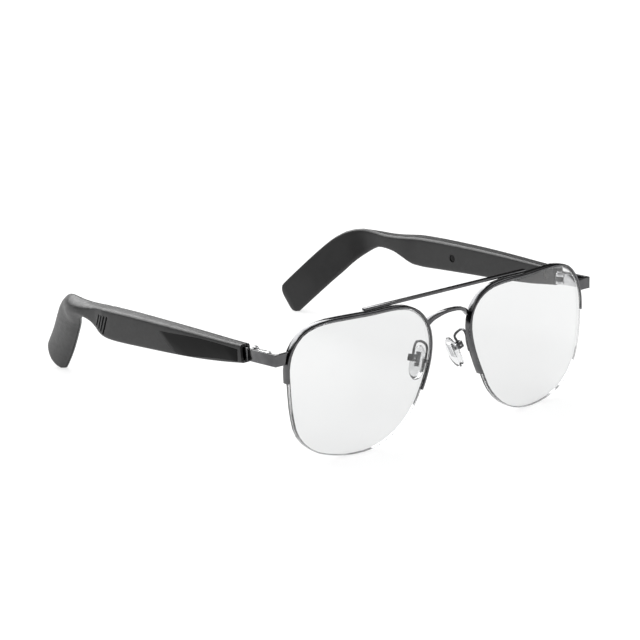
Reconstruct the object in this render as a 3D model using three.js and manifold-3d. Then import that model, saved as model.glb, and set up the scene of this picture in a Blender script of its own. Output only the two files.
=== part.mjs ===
// Smart glasses: a wire half-rim front with a double bridge, and two hollow temples
// that hold the electronics. Millimetres, +Z up, the front looks along -Y, and
// +X is the wearer's left. The glasses stand on the lens edges and the temple tips.
import * as THREE from "three";
import { mergeVertices } from "three/addons/utils/BufferGeometryUtils.js";
import Module from "manifold-3d";

const wasm = await Module();
wasm.setup();

// ---- Driving dimensions ----
const DEPTH = 162.3; // foremost point of the lenses to the rearmost of the tips
const BRIDGE_GAP = 17.4; // between the two rims at the nose, at their widest
const LENS_WIDTH = 57; // one lens, without its rim
const LENS_HEIGHT = 48.3;
const LENS_THICK = 2;
const LENS_RADIUS = 117.6; // front surface of the lens, a 4.5 dioptre curve
const LENS_DROP = 10.3; // from the end pieces down to the lens centres
const FACE_FORM = THREE.MathUtils.degToRad(4.45); // outward turn of each lens
const RIM_WALL = 0.85;
const RIM_DEPTH = 2.5;
const CORD_THICK = 0.4;
const END_RUN = 3.8; // from the rim to the outer corner of an end piece
const STRIP_THICK = 1; // sheet that the end pieces are bent from
const STRIP_HEIGHT = 4.2;
const STRIP_LENGTH = 14.7; // side leg of an end piece
const STRIP_SLOPE = -0.062; // the side legs fall by this much for each mm back
const BAR_LENGTH = 73;
const BAR_HEIGHT = 0.95;
const BAR_DEPTH = 1.7;
const BRIDGE_DEPTH = 1.9;
const HINGE_RADIUS = 1.25; // hinge knuckles
const HINGE_PIN_RADIUS = 0.5;
const HINGE_HEIGHT = 4;
const MOUTH_Y = 16.8; // front end of the temple shells
const SHELL_WALL = 0.9;
const COVER_THICK = 1.3; // inner cover, from its face to the seam
const SEAM = 0.2; // parting groove between the two shells
const PANEL_THICK = 0.45;
const SLIT_WIDTH = 0.8;
const CONTACT_RADIUS = 1.4;
const WINDOW_RADIUS = 1.35;
const PAD_LENGTH = 12;
const PAD_WIDTH = 6.8;
const PAD_THICK = 2.3;
const PAD_WIRE_RADIUS = 0.45;
const GAP = 0.12; // between pieces that touch or are brazed
const RUNNING_GAP = 0.15; // between faces that turn on each other
const PIN_GAP = 0.08; // round a pin that turns

// ---- Sizes that follow from them ----
// The outline of a lens, from the rim's temporal end over the top to its nasal end,
// and back along the bottom, in mm for a lens of the pattern size.
const PATTERN_WIDTH = 57;
const PATTERN_HEIGHT = 48.3;
const LENS_PATTERN = [
  [32, 1.5],
  [31.9, 7],
  [30.2, 12.6],
  [25.9, 17.6],
  [19.3, 20],
  [10, 20.5],
  [0, 20.4],
  [-9.3, 20.4],
  [-15.6, 19.4],
  [-20.3, 16.9],
  [-23.8, 12.5],
  [-25, 7],
  [-24.3, 1],
  [-22.4, -5],
  [-20.3, -9.8],
  [-16.6, -16.8],
  [-10.5, -22.9],
  [-3, -26.7],
  [5.5, -27.8],
  [14.5, -26.9],
  [22.7, -24],
  [28.6, -17.9],
  [31.1, -9.2],
];
const RIM_END = 14 / LENS_PATTERN.length; // share of the outline that the rim covers
const lensCurve = new THREE.CatmullRomCurve3(
  LENS_PATTERN.map(([u, v]) => lensPoint(u, v)),
  true,
);
const RIM_OUTSIDE = GAP + RIM_WALL; // rim's outer face, outside the lens edge
const lensBox = new THREE.Box3().setFromPoints(lensCurve.getPoints(400));
const LENS_X = BRIDGE_GAP / 2 + RIM_OUTSIDE - lensBox.min.x;
const HALF_LENS = LENS_WIDTH / 2;
const EDGE_BOW = HALF_LENS ** 2 / (2 * LENS_RADIUS); // lens edge, behind the lens centre
const EDGE_TURN = HALF_LENS * Math.sin(FACE_FORM);
const RIM_AHEAD = 2.135; // outer side of the lens, ahead of the end piece corners
const LENS_FRONT_Y = -RIM_AHEAD - EDGE_BOW - EDGE_TURN; // lens centre
const NOSE_SIDE_Y = LENS_FRONT_Y + EDGE_BOW - EDGE_TURN;
const LENS_RECESS = 0.3; // lens surface, behind the rim's front face
const GROOVE_MIDDLE = LENS_RECESS + LENS_THICK / 2;
const STAND_HEIGHT = LENS_DROP - lensBox.min.z; // end pieces above the table
const HALF_WIDTH = LENS_X + lensBox.max.x + RIM_OUTSIDE + END_RUN;
const TURN_REACH = (LENS_RADIUS * Math.sin(FACE_FORM) ** 2) / 2; // gained by face form
const FRONT_REACH = TURN_REACH - LENS_FRONT_Y - LENS_RECESS; // lens fronts, ahead of corners
const BRIDGE_BOW = 1.042 - NOSE_SIDE_Y; // bridge front, ahead of the end piece corners
const BAR_Y = LENS_FRONT_Y + 3.2; // front face of the brow bar
const BAR_BOTTOM = lensBox.max.z - LENS_DROP + RIM_OUTSIDE + GAP;

const STRIP_OUTSIDE = HALF_WIDTH;
const STRIP_INSIDE = HALF_WIDTH - STRIP_THICK;
const HINGE_X = STRIP_INSIDE - 1.7; // fold axis, level with the temple's inner face
const HINGE_Y = STRIP_LENGTH - 0.7;
const HINGE_Z = STRIP_SLOPE * HINGE_Y;
const KNUCKLE_GAP_Z = 0.65; // half height of the middle knuckle
const FRONT_LEAF_LENGTH = 6.7;
const FRONT_LEAF_THICK = 1.6;
const FRONT_LEAF_STOP = 1.8; // the leaf ends this far ahead of the fold axis
const KNUCKLE_ARM_INSET = 0.4; // knuckle arms, inward of the fold axis
const KNUCKLE_ARM_LAP = 0.5;
const SCREW_HEAD_RADIUS = 0.95;
const SCREW_HEAD_TOP = 0.55; // above the top knuckle
const SCREW_SLOT_FLOOR = 0.35;
const SCREW_SLOT_HALF = 0.15;
const TONGUE_BELOW = 1.6;
const TONGUE_ABOVE = 1.4;
const PLATE_Y = STRIP_LENGTH + 0.25; // front edge of the temple's hinge plate
const PLATE_END_Y = MOUTH_Y + 7;

// Stations along a temple, for one 131 mm long from mouth to last station: distance
// back, height, inward offset of the centre from the end piece, section height
// and section thickness.
const STATION_SPAN = 131;
const TEMPLE_STATIONS = [
  [0, -0.9, 0.6, 6.3, 4.2],
  [10.7, -2, 0.3, 7.8, 4.7],
  [26.6, -3.15, -0.2, 9.5, 5.3],
  [43.2, -4.15, -0.5, 10.3, 5.9],
  [60.2, -5.3, -0.4, 11, 6.3],
  [70.2, -6.1, -0.2, 11.2, 6.5],
  [75.7, -6.3, 0.1, 10.8, 6.6],
  [80.3, -5.7, 0.9, 8.4, 6.5],
  [84.6, -5.3, 1.2, 6.4, 6.4],
  [90, -5.3, 1.3, 5.5, 6.4],
  [95.4, -5.6, 1.3, 6.1, 6.1],
  [101.3, -7.1, 2.5, 9.1, 5.5],
  [106.4, -9.7, 5.3, 11.7, 4.9],
  [112.5, -14.8, 7.9, 13.3, 4.5],
  [123.2, -25.7, 12.7, 13.3, 4.3],
  [131, -33.5, 15.3, 13.1, 4.2],
];
const TIP_ROUND = 3; // length of the rounding at the end of a tip
const TIP_CORNER = 4.6; // height taken off each corner of the end
const TIP_THIN = 0.55; // share of the thickness left at the end
const TIP_REACH = 5.05; // rearmost point of a tip, behind its last station
const NECK_STATION = 10; // the tips bend down from here
const DOME_START = 7; // the outer face turns from flat to domed between these stations
const DOME_END = 11;
const NOMINAL_STAND = 38.1; // stand height that the stations were drawn for
const TEMPLE_SPAN = DEPTH - FRONT_REACH - MOUTH_Y - TIP_REACH;
const templePath = makeTemplePath();

// ---- Materials ----
const finish = {
  gunmetal: metal(0x3c3c3e, 0.22),
  darkSteel: metal(0x2b2b2c, 0.3),
  steel: metal(0x9a9a9c, 0.3),
  gold: metal(0xc8a050, 0.3),
  lens: new THREE.MeshStandardMaterial({
    color: 0xf2f4f5,
    roughness: 0.03,
    metalness: 0,
    transparent: true,
    opacity: 0.3,
  }),
  pad: new THREE.MeshStandardMaterial({
    color: 0xe9ecee,
    roughness: 0.15,
    metalness: 0,
    transparent: true,
    opacity: 0.5,
  }),
  nylon: plastic(0xd6d8d8, 0.25),
  shell: plastic(0x3a3a3b, 0.55),
  gloss: plastic(0x0b0b0c, 0.12),
  windowBlack: plastic(0x050506, 0.1),
  board: plastic(0x14502e, 0.5),
  flex: plastic(0xa8641e, 0.4),
  cell: plastic(0x7d8086, 0.35),
  mesh: metal(0x202022, 0.5),
};

function metal(color, roughness) {
  return new THREE.MeshStandardMaterial({ color, roughness, metalness: 1 });
}

function plastic(color, roughness) {
  return new THREE.MeshStandardMaterial({ color, roughness, metalness: 0 });
}

// ---- Solids ----

// A closed BufferGeometry as a solid.
function solidOf(geometry) {
  const bare = geometry.clone();
  bare.deleteAttribute("normal");
  bare.deleteAttribute("uv");
  const merged = mergeVertices(bare, 1e-4);
  return new wasm.Manifold(
    new wasm.Mesh({
      numProp: 3,
      vertProperties: merged.getAttribute("position").array,
      triVerts: new Uint32Array(merged.index.array),
    }),
  );
}

// A solid as a BufferGeometry with flat faces.
function geometryOf(solid) {
  const mesh = solid.getMesh();
  const geometry = new THREE.BufferGeometry();
  geometry.setAttribute("position", new THREE.BufferAttribute(mesh.vertProperties, 3));
  geometry.setIndex(new THREE.BufferAttribute(mesh.triVerts, 1));
  const flat = geometry.toNonIndexed();
  flat.computeVertexNormals();
  return flat;
}

// Rings of the same number of points joined in order, with a fan over each end.
function loft(rings, poles = []) {
  const sides = rings[0].length;
  const points = rings.flat();
  const first = points.push(poles[0] ?? middleOf(rings[0])) - 1;
  const last = points.push(poles[1] ?? middleOf(rings.at(-1))) - 1;
  const index = [];
  for (let i = 0; i < sides; i++) {
    const next = (i + 1) % sides;
    index.push(first, next, i);
    for (let k = 0; k < rings.length - 1; k++) {
      const a = k * sides + i;
      const b = k * sides + next;
      index.push(a, b, b + sides, a, b + sides, a + sides);
    }
    const end = (rings.length - 1) * sides;
    index.push(last, end + i, end + next);
  }
  return outward(points, index);
}

function middleOf(points) {
  const sum = points.reduce((total, p) => total.add(p), new THREE.Vector3());
  return sum.divideScalar(points.length);
}

// An indexed geometry, with its triangles turned so that they face out.
function outward(points, index) {
  let volume = 0;
  const cross = new THREE.Vector3();
  for (let i = 0; i < index.length; i += 3) {
    const [a, b, c] = [points[index[i]], points[index[i + 1]], points[index[i + 2]]];
    volume += a.dot(cross.crossVectors(b, c));
  }
  if (volume < 0) index.reverse();
  const geometry = new THREE.BufferGeometry().setFromPoints(points);
  geometry.setIndex(index);
  geometry.computeVertexNormals();
  return geometry;
}

function box(x0, x1, y0, y1, z0, z1) {
  const geometry = new THREE.BoxGeometry(x1 - x0, y1 - y0, z1 - z0);
  return geometry.translate((x0 + x1) / 2, (y0 + y1) / 2, (z0 + z1) / 2);
}

// A cylinder between two points.
function rod(radius, from, to, sides = 16) {
  const along = to.clone().sub(from);
  const geometry = new THREE.CylinderGeometry(radius, radius, along.length(), sides);
  geometry.rotateX(Math.PI / 2);
  const turn = new THREE.Quaternion().setFromUnitVectors(
    new THREE.Vector3(0, 0, 1),
    along.clone().normalize(),
  );
  geometry.applyQuaternion(turn);
  const middle = from.clone().add(to).divideScalar(2);
  return geometry.translate(middle.x, middle.y, middle.z);
}

// The same piece on the other side of the glasses.
function mirrored(geometry) {
  const flipped = geometry.clone().scale(-1, 1, 1);
  flipped.index.array.reverse();
  return flipped;
}

function uprightRod(radius, x, y, z0, z1, sides) {
  return rod(radius, new THREE.Vector3(x, y, z0), new THREE.Vector3(x, y, z1), sides);
}

// Slides a geometry down as it goes back, like the end piece strips.
function sloped(geometry) {
  const shear = new THREE.Matrix4().makeShear(0, 0, 0, STRIP_SLOPE, 0, 0);
  return geometry.applyMatrix4(shear);
}

function mesh(name, geometry, material) {
  const made = new THREE.Mesh(geometry, material);
  made.name = name;
  return made;
}

// ---- Lens outline and surface, in the lens's own frame ----
// x runs towards the temple, z up, and y back from the front of the rim's centre.

function lensPoint(u, v) {
  return new THREE.Vector3((u * LENS_WIDTH) / PATTERN_WIDTH, 0, (v * LENS_HEIGHT) / PATTERN_HEIGHT);
}

// A point of the outline, moved out from the lens edge and back from the front.
function edgePoint(t, out, back) {
  const share = ((t % 1) + 1) % 1;
  const p = lensCurve.getPoint(share);
  const tangent = lensCurve.getTangent(share);
  const x = p.x + tangent.z * out;
  const z = p.z - tangent.x * out;
  return new THREE.Vector3(x, lensSag(x, z) + back, z);
}

function lensSag(x, z) {
  return (x * x + z * z) / (2 * LENS_RADIUS);
}

// A bar of rectangular section along the outline.
function edgeStrip(from, to, inner, outer, front, back, steps) {
  const rings = [];
  for (let i = 0; i <= steps; i++) {
    const t = from + ((to - from) * i) / steps;
    rings.push([
      edgePoint(t, inner, front),
      edgePoint(t, outer, front),
      edgePoint(t, outer, back),
      edgePoint(t, inner, back),
    ]);
  }
  return loft(rings);
}

const LENS_STEPS = 56;
const GROOVE_DEPTH = CORD_THICK + GAP;
const GROOVE_HALF = CORD_THICK / 2 + GAP;

function lensRing(out, back, scale = 1) {
  const ring = [];
  for (let i = 0; i < LENS_STEPS; i++) {
    const p = edgePoint(i / LENS_STEPS, out, 0);
    const x = p.x * scale;
    const z = p.z * scale;
    ring.push(new THREE.Vector3(x, lensSag(x, z) + back, z));
  }
  return ring;
}

// The lens, with a groove all round its edge for the liner and the cord.
function lensGeometry() {
  const front = LENS_RECESS;
  const back = LENS_RECESS + LENS_THICK;
  const rings = [
    lensRing(0, front, 0.6),
    lensRing(0, front),
    lensRing(0, GROOVE_MIDDLE - GROOVE_HALF),
    lensRing(-GROOVE_DEPTH, GROOVE_MIDDLE - GROOVE_HALF),
    lensRing(-GROOVE_DEPTH, GROOVE_MIDDLE + GROOVE_HALF),
    lensRing(0, GROOVE_MIDDLE + GROOVE_HALF),
    lensRing(0, back),
    lensRing(0, back, 0.6),
  ];
  const poles = [new THREE.Vector3(0, front, 0), new THREE.Vector3(0, back, 0)];
  return loft(rings, poles);
}

// What lies inside the outer face of a rim, in the frame of the whole glasses.
function rimEnvelope(clearance) {
  const near = -10;
  const far = 20;
  const rings = [near, far].map((y) => {
    const ring = [];
    for (let i = 0; i < LENS_STEPS; i++) {
      const p = edgePoint(i / LENS_STEPS, RIM_OUTSIDE + clearance, 0);
      ring.push(new THREE.Vector3(p.x, y, p.z));
    }
    return ring;
  });
  return loft(rings).rotateZ(FACE_FORM).translate(LENS_X, LENS_FRONT_Y, -LENS_DROP);
}

const rimSolid = solidOf(rimEnvelope(GAP));

function lensGroup(side) {
  const group = new THREE.Group();
  group.position.set(LENS_X, LENS_FRONT_Y, -LENS_DROP);
  group.rotation.z = FACE_FORM;
  const cordIn = -CORD_THICK;
  const cordOut = -0.02;
  const front = GROOVE_MIDDLE - CORD_THICK / 2;
  const back = GROOVE_MIDDLE + CORD_THICK / 2;
  const rim = edgeStrip(0, RIM_END, GAP, RIM_OUTSIDE, 0, RIM_DEPTH, 36);
  const liner = edgeStrip(0.03, RIM_END - 0.03, cordIn, cordOut, front, back, 30);
  const cord = edgeStrip(RIM_END - 0.02, 1.02, cordIn, cordOut, front, back, 24);
  group.add(mesh(`rim_${side}`, rim, finish.gunmetal));
  group.add(mesh(`rim_liner_${side}`, liner, finish.nylon));
  group.add(mesh(`lens_cord_${side}`, cord, finish.nylon));
  group.add(mesh(`lens_${side}`, lensGeometry(), finish.lens));
  return group;
}

// ---- Bridges ----

function browBar() {
  const half = BAR_LENGTH / 2;
  return box(-half, half, BAR_Y, BAR_Y + BAR_DEPTH, BAR_BOTTOM, BAR_BOTTOM + BAR_HEIGHT);
}

// Half of the lower bridge: distance from the middle, top, bottom, and front face.
const BRIDGE_STATIONS = [
  [0, 5.9, 4.85, 0],
  [0.25, 5.8, 4.75, 0.1],
  [0.45, 5.5, 4.35, 0.35],
  [0.65, 5.05, 3.6, 0.85],
  [0.8, 4.5, 2.9, 1.35],
  [0.9, 3.95, 2.15, 1.7],
  [1, 3.3, 1.3, 2],
  [1.15, 2.5, 0.4, 2.3],
];

function bridgeGeometry() {
  const half = BRIDGE_GAP / 2;
  const rings = [];
  const add = ([share, top, bottom, setBack], sign) => {
    const x = sign * share * half;
    const y = -BRIDGE_BOW + setBack;
    rings.push([
      new THREE.Vector3(x, y, bottom),
      new THREE.Vector3(x, y, top),
      new THREE.Vector3(x, y + BRIDGE_DEPTH, top),
      new THREE.Vector3(x, y + BRIDGE_DEPTH, bottom),
    ]);
  };
  for (const station of BRIDGE_STATIONS.slice(1).reverse()) add(station, -1);
  for (const station of BRIDGE_STATIONS) add(station, 1);
  const otherRim = solidOf(mirrored(rimEnvelope(GAP)));
  return geometryOf(solidOf(loft(rings)).subtract(rimSolid).subtract(otherRim));
}

// ---- End piece and hinge of the left side ----

function endPiece() {
  const half = STRIP_HEIGHT / 2;
  const insideRim = LENS_X + lensBox.max.x - 1;
  const plan = new THREE.Shape();
  plan.moveTo(STRIP_OUTSIDE, 0);
  plan.lineTo(STRIP_OUTSIDE, STRIP_LENGTH);
  plan.lineTo(STRIP_INSIDE, STRIP_LENGTH);
  plan.lineTo(STRIP_INSIDE, STRIP_THICK);
  plan.lineTo(insideRim, STRIP_THICK);
  plan.lineTo(insideRim, 0);
  const bent = new THREE.ExtrudeGeometry(plan, { depth: STRIP_HEIGHT, bevelEnabled: false });
  bent.translate(0, 0, -half);
  return geometryOf(solidOf(sloped(bent)).subtract(rimSolid));
}

// Leaf brazed inside the strip, with the upper and lower knuckles.
function frontLeaf() {
  const inside = STRIP_INSIDE - GAP;
  const half = HINGE_HEIGHT / 2;
  const leafBack = HINGE_Y - FRONT_LEAF_STOP;
  const leafFront = leafBack - FRONT_LEAF_LENGTH;
  const leaf = sloped(box(inside - FRONT_LEAF_THICK, inside, leafFront, leafBack, -half, half));
  let solid = solidOf(leaf);
  for (const sign of [1, -1]) {
    const near = HINGE_Z + sign * (KNUCKLE_GAP_Z + RUNNING_GAP);
    const far = HINGE_Z + sign * half;
    const low = Math.min(near, far);
    const high = Math.max(near, far);
    const armFront = leafBack - KNUCKLE_ARM_LAP;
    const arm = box(HINGE_X - KNUCKLE_ARM_INSET, inside, armFront, HINGE_Y, low, high);
    const knuckle = uprightRod(HINGE_RADIUS, HINGE_X, HINGE_Y, low, high, 20);
    solid = solid.add(solidOf(arm)).add(solidOf(knuckle));
  }
  return geometryOf(solid.subtract(hingeBore()));
}

function hingeBore() {
  const radius = HINGE_PIN_RADIUS + PIN_GAP;
  return solidOf(uprightRod(radius, HINGE_X, HINGE_Y, HINGE_Z - 5, HINGE_Z + 5, 16));
}

// Plate that carries the temple, with the middle knuckle.
function templeLeaf() {
  const half = HINGE_HEIGHT / 2 + 0.15;
  const between = [STRIP_INSIDE, STRIP_OUTSIDE];
  const plate = box(...between, PLATE_Y, MOUTH_Y + 1.2, HINGE_Z - half, HINGE_Z + half);
  const tongueLow = HINGE_Z - TONGUE_BELOW;
  const tongueHigh = HINGE_Z + TONGUE_ABOVE;
  const tongue = box(...between, MOUTH_Y, PLATE_END_Y, tongueLow, tongueHigh);
  const low = HINGE_Z - KNUCKLE_GAP_Z;
  const high = HINGE_Z + KNUCKLE_GAP_Z;
  const web = box(HINGE_X + 0.1, STRIP_INSIDE + 0.2, PLATE_Y, PLATE_Y + 1.6, low, high);
  const knuckle = uprightRod(HINGE_RADIUS, HINGE_X, HINGE_Y, low, high, 20);
  const flat = solidOf(plate).add(solidOf(tongue));
  const solid = flat.add(solidOf(web)).add(solidOf(knuckle));
  return geometryOf(solid.subtract(hingeBore()));
}

// Slotted screw that pins the knuckles together.
function hingeScrew() {
  const top = HINGE_Z + HINGE_HEIGHT / 2;
  const bottom = HINGE_Z - HINGE_HEIGHT / 2;
  const headTop = top + SCREW_HEAD_TOP;
  const slotFloor = top + SCREW_SLOT_FLOOR;
  const slotFront = HINGE_Y - SCREW_SLOT_HALF;
  const slotBack = HINGE_Y + SCREW_SLOT_HALF;
  const shank = uprightRod(HINGE_PIN_RADIUS, HINGE_X, HINGE_Y, bottom, top + 0.3, 16);
  const head = uprightRod(SCREW_HEAD_RADIUS, HINGE_X, HINGE_Y, top + GAP, headTop, 16);
  const slot = box(HINGE_X - 1, HINGE_X + 1, slotFront, slotBack, slotFloor, headTop + 1);
  return geometryOf(solidOf(shank).add(solidOf(head)).subtract(solidOf(slot)));
}

// ---- Nose pad of the left side ----
// The pad's own frame: x forward, y away from the nose, z up its long axis.

const PAD_CENTRE = new THREE.Vector3(BRIDGE_GAP / 2 - 0.1, LENS_FRONT_Y + 9.8, -13.6);
const PAD_UP = new THREE.Vector3(-0.37, 0.15, 0.915).normalize();
const PAD_FRONT = new THREE.Vector3(-0.1, -1, 0.12).projectOnPlane(PAD_UP).normalize();
const PAD_OUT = new THREE.Vector3().crossVectors(PAD_UP, PAD_FRONT);
const PAD_BOX_SIZE = 2.4;
const PAD_BOX_OUT = PAD_THICK / 2 + 1.9; // box centre, away from the pad's middle
const PAD_BOX_UP = 1.2;
const PAD_TAB_HALF = 0.35;
const PAD_TAB_TALL = 0.8; // half height of the tab
const PAD_POCKET_TALL = 1.2; // half height of the tab's pocket
const PAD_PLATE_WIDE = 1.1; // half width of the plate in the pad
const PAD_PLATE_TALL = 2.6;
const PAD_PLATE_THICK = 0.3;
const PAD_SCREW_RADIUS = 0.35;
const PAD_HEAD_RADIUS = 0.7;
const PAD_HEAD_THICK = 0.5;
const PAD_SLOT_DEPTH = 0.2;
const PAD_SLOT_HALF = 0.12;
const PAD_NARROWING = 0.13; // of the width, towards the top

function padGroup() {
  const group = new THREE.Group();
  group.position.copy(PAD_CENTRE);
  const basis = new THREE.Matrix4().makeBasis(PAD_FRONT, PAD_OUT, PAD_UP);
  group.quaternion.setFromRotationMatrix(basis);
  return group;
}

// Teardrop outline of the pad, drawn in by an inset and set out by y.
function padRing(inset, y) {
  const ring = [];
  const steps = 28;
  for (let i = 0; i < steps; i++) {
    const angle = (2 * Math.PI * i) / steps;
    const narrow = 1 - PAD_NARROWING * Math.sin(angle);
    const x = (PAD_WIDTH / 2 - inset) * Math.cos(angle) * narrow;
    const z = (PAD_LENGTH / 2 - inset) * Math.sin(angle);
    ring.push(new THREE.Vector3(x, y, z));
  }
  return ring;
}

// Soft pad, domed towards the nose, with a pocket for the core.
function padGeometry() {
  const half = PAD_THICK / 2;
  const rings = [
    padRing(2, -half),
    padRing(0.9, -half * 0.8),
    padRing(0.25, -half * 0.4),
    padRing(0, half * 0.1),
    padRing(0.3, half * 0.7),
    padRing(0.9, half),
  ];
  const plate = box(
    -PAD_PLATE_WIDE - GAP,
    PAD_PLATE_WIDE + GAP,
    -PAD_PLATE_THICK,
    PAD_PLATE_THICK,
    PAD_BOX_UP - PAD_PLATE_TALL,
    PAD_BOX_UP + PAD_PLATE_TALL,
  );
  const tab = box(
    -PAD_TAB_HALF - GAP,
    PAD_TAB_HALF + GAP,
    0,
    PAD_THICK,
    PAD_BOX_UP - PAD_POCKET_TALL - GAP,
    PAD_BOX_UP + PAD_POCKET_TALL + GAP,
  );
  return geometryOf(solidOf(loft(rings)).subtract(solidOf(plate)).subtract(solidOf(tab)));
}

// Metal core: a plate held in the pad and a drilled tab that enters the box.
function padCore() {
  const inside = PAD_PLATE_THICK - GAP;
  const low = PAD_BOX_UP - PAD_PLATE_TALL + GAP;
  const high = PAD_BOX_UP + PAD_PLATE_TALL - GAP;
  const plate = box(-PAD_PLATE_WIDE, PAD_PLATE_WIDE, -inside, inside, low, high);
  const tabEnd = PAD_BOX_OUT + 0.75;
  const tabLow = PAD_BOX_UP - PAD_TAB_TALL;
  const tabHigh = PAD_BOX_UP + PAD_TAB_TALL;
  const tab = box(-PAD_TAB_HALF, PAD_TAB_HALF, 0, tabEnd, tabLow, tabHigh);
  const hole = padHole(PAD_SCREW_RADIUS + PIN_GAP);
  return geometryOf(solidOf(plate).add(solidOf(tab)).subtract(hole));
}

function padHole(radius) {
  const y = PAD_BOX_OUT;
  const from = new THREE.Vector3(-4, y, PAD_BOX_UP);
  const to = new THREE.Vector3(4, y, PAD_BOX_UP);
  return solidOf(rod(radius, from, to, 12));
}

// Open box at the end of the arm, which clasps the tab.
function padBox() {
  const half = PAD_BOX_SIZE / 2;
  const y = PAD_BOX_OUT;
  const block = box(-half, half, y - half, y + half, PAD_BOX_UP - half, PAD_BOX_UP + half);
  const slotHalf = PAD_TAB_HALF + RUNNING_GAP;
  const slot = box(-slotHalf, slotHalf, y - 5, y + 0.95, PAD_BOX_UP - 5, PAD_BOX_UP + 5);
  const hole = padHole(PAD_SCREW_RADIUS + PIN_GAP);
  return geometryOf(solidOf(block).subtract(solidOf(slot)).subtract(hole));
}

function padScrew() {
  const y = PAD_BOX_OUT;
  const half = PAD_BOX_SIZE / 2;
  const at = (x) => new THREE.Vector3(x, y, PAD_BOX_UP);
  const headTop = -half - PAD_HEAD_THICK;
  const shank = rod(PAD_SCREW_RADIUS, at(headTop + PAD_SLOT_DEPTH), at(half), 12);
  const head = rod(PAD_HEAD_RADIUS, at(headTop), at(-half - GAP), 16);
  const slotEnd = headTop + PAD_SLOT_DEPTH;
  const y0 = y - PAD_SLOT_HALF;
  const y1 = y + PAD_SLOT_HALF;
  const slot = box(headTop - 1, slotEnd, y0, y1, PAD_BOX_UP - 1, PAD_BOX_UP + 1);
  return geometryOf(solidOf(shank).add(solidOf(head)).subtract(solidOf(slot)));
}

// Wire arm: a foot brazed up the back of the rim, a loop back, and down to the box.
function padArm() {
  const edge = BRIDGE_GAP / 2;
  const back = LENS_FRONT_Y + 3.45;
  const boxTop = new THREE.Vector3(0, PAD_BOX_OUT, PAD_BOX_UP + PAD_BOX_SIZE / 2 + GAP);
  const end = boxTop.applyMatrix4(padMatrix());
  const route = new THREE.CatmullRomCurve3([
    new THREE.Vector3(edge + 1.9, back + 0.55, -12),
    new THREE.Vector3(edge + 0.9, back + 0.5, -8.5),
    new THREE.Vector3(edge + 0.8, back + 0.9, -6),
    new THREE.Vector3(edge + 1.2, back + 2.4, -5),
    new THREE.Vector3(edge + 1.6, back + 4.6, -5.3),
    end.clone().addScaledVector(PAD_UP, 2.4),
    end,
  ]);
  const section = new THREE.Shape().absarc(0, 0, PAD_WIRE_RADIUS, 0, 2 * Math.PI);
  const wire = new THREE.ExtrudeGeometry(section, {
    steps: 22,
    extrudePath: route,
    curveSegments: 4,
  });
  return geometryOf(solidOf(wire).subtract(rimBackSolid()));
}

function padMatrix() {
  const group = padGroup();
  group.updateMatrix();
  return group.matrix;
}

// The nasal wall of the rim and the lens edge, thickened by a gap.
function rimBackSolid() {
  const wall = edgeStrip(0.3, 0.75, -1.5, RIM_OUTSIDE + GAP, -1, RIM_DEPTH + GAP, 40);
  const placed = wall.rotateZ(FACE_FORM).translate(LENS_X, LENS_FRONT_Y, -LENS_DROP);
  return solidOf(placed);
}

// ---- Temple of the left side ----

// Stations with their place, section size and directions: out, up and along.
function makeTemplePath() {
  const neck = TEMPLE_STATIONS[NECK_STATION];
  const tipEnd = TEMPLE_STATIONS.at(-1);
  const tipStretch = (STAND_HEIGHT - NOMINAL_STAND) / (neck[1] - tipEnd[1]) + 1;
  const rows = TEMPLE_STATIONS.map(([along, height, inward, tall, thick], i) => {
    const z = i > NECK_STATION ? neck[1] + (height - neck[1]) * tipStretch : height;
    const y = MOUTH_Y + (along / STATION_SPAN) * TEMPLE_SPAN;
    return { centre: new THREE.Vector3(HALF_WIDTH - inward, y, z), tall, thick };
  });
  const centres = new THREE.CatmullRomCurve3(rows.map((row) => row.centre));
  const sizes = new THREE.CatmullRomCurve3(
    rows.map((row, i) => new THREE.Vector3(row.tall, row.thick, i)),
  );
  const last = rows.length - 1;
  // Section at a station number, which may lie between two stations.
  return (station) => {
    const share = Math.min(Math.max(station / last, 0), 1);
    const centre = centres.getPoint(share);
    const along = centres.getTangent(share);
    const up = new THREE.Vector3(0, -along.z, along.y).normalize();
    const out = new THREE.Vector3().crossVectors(along, up);
    const size = sizes.getPoint(share);
    const dome = THREE.MathUtils.smoothstep(station, DOME_START, DOME_END);
    return { centre, along, up, out, dome, halfTall: size.x / 2, halfThick: size.y / 2 };
  };
}

// A ring at a station, through points given as offsets out and up.
function ringAt({ centre, out, up }, offsets) {
  return offsets.map(([s, u]) => centre.clone().addScaledVector(out, s).addScaledVector(up, u));
}

// Rounded section, drawn in by an inset. The inner corners are round, and the outer
// corners open from round to elliptical where the outer face is domed.
const CORNER_STEPS = 3;
const CORNER_ROUND = 0.4; // of the half thickness
const DOME_ACROSS = 1.5; // of the half thickness
const DOME_UP = 0.9; // of the half height
const LEAST_ROUND = 0.3;

function roundedOffsets({ halfThick, halfTall, dome }, inset = 0) {
  const { lerp } = THREE.MathUtils;
  const s = halfThick - inset;
  const u = halfTall - inset;
  const round = CORNER_ROUND * halfThick;
  const inner = Math.max(round - inset, LEAST_ROUND);
  const opened = lerp(round, DOME_ACROSS * halfThick, dome) - inset;
  const across = Math.min(Math.max(opened, LEAST_ROUND), 2 * s - inner - LEAST_ROUND);
  const rise = Math.max(lerp(round, DOME_UP * halfTall, dome) - inset, LEAST_ROUND);
  const corners = [
    [s - across, u - rise, across, rise],
    [inner - s, u - inner, inner, inner],
    [inner - s, inner - u, inner, inner],
    [s - across, rise - u, across, rise],
  ];
  const offsets = [];
  corners.forEach(([centreS, centreU, radiusS, radiusU], quarter) => {
    for (let i = 0; i <= CORNER_STEPS; i++) {
      const angle = ((quarter + i / CORNER_STEPS) * Math.PI) / 2;
      offsets.push([centreS + radiusS * Math.cos(angle), centreU + radiusU * Math.sin(angle)]);
    }
  });
  return offsets;
}

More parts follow.
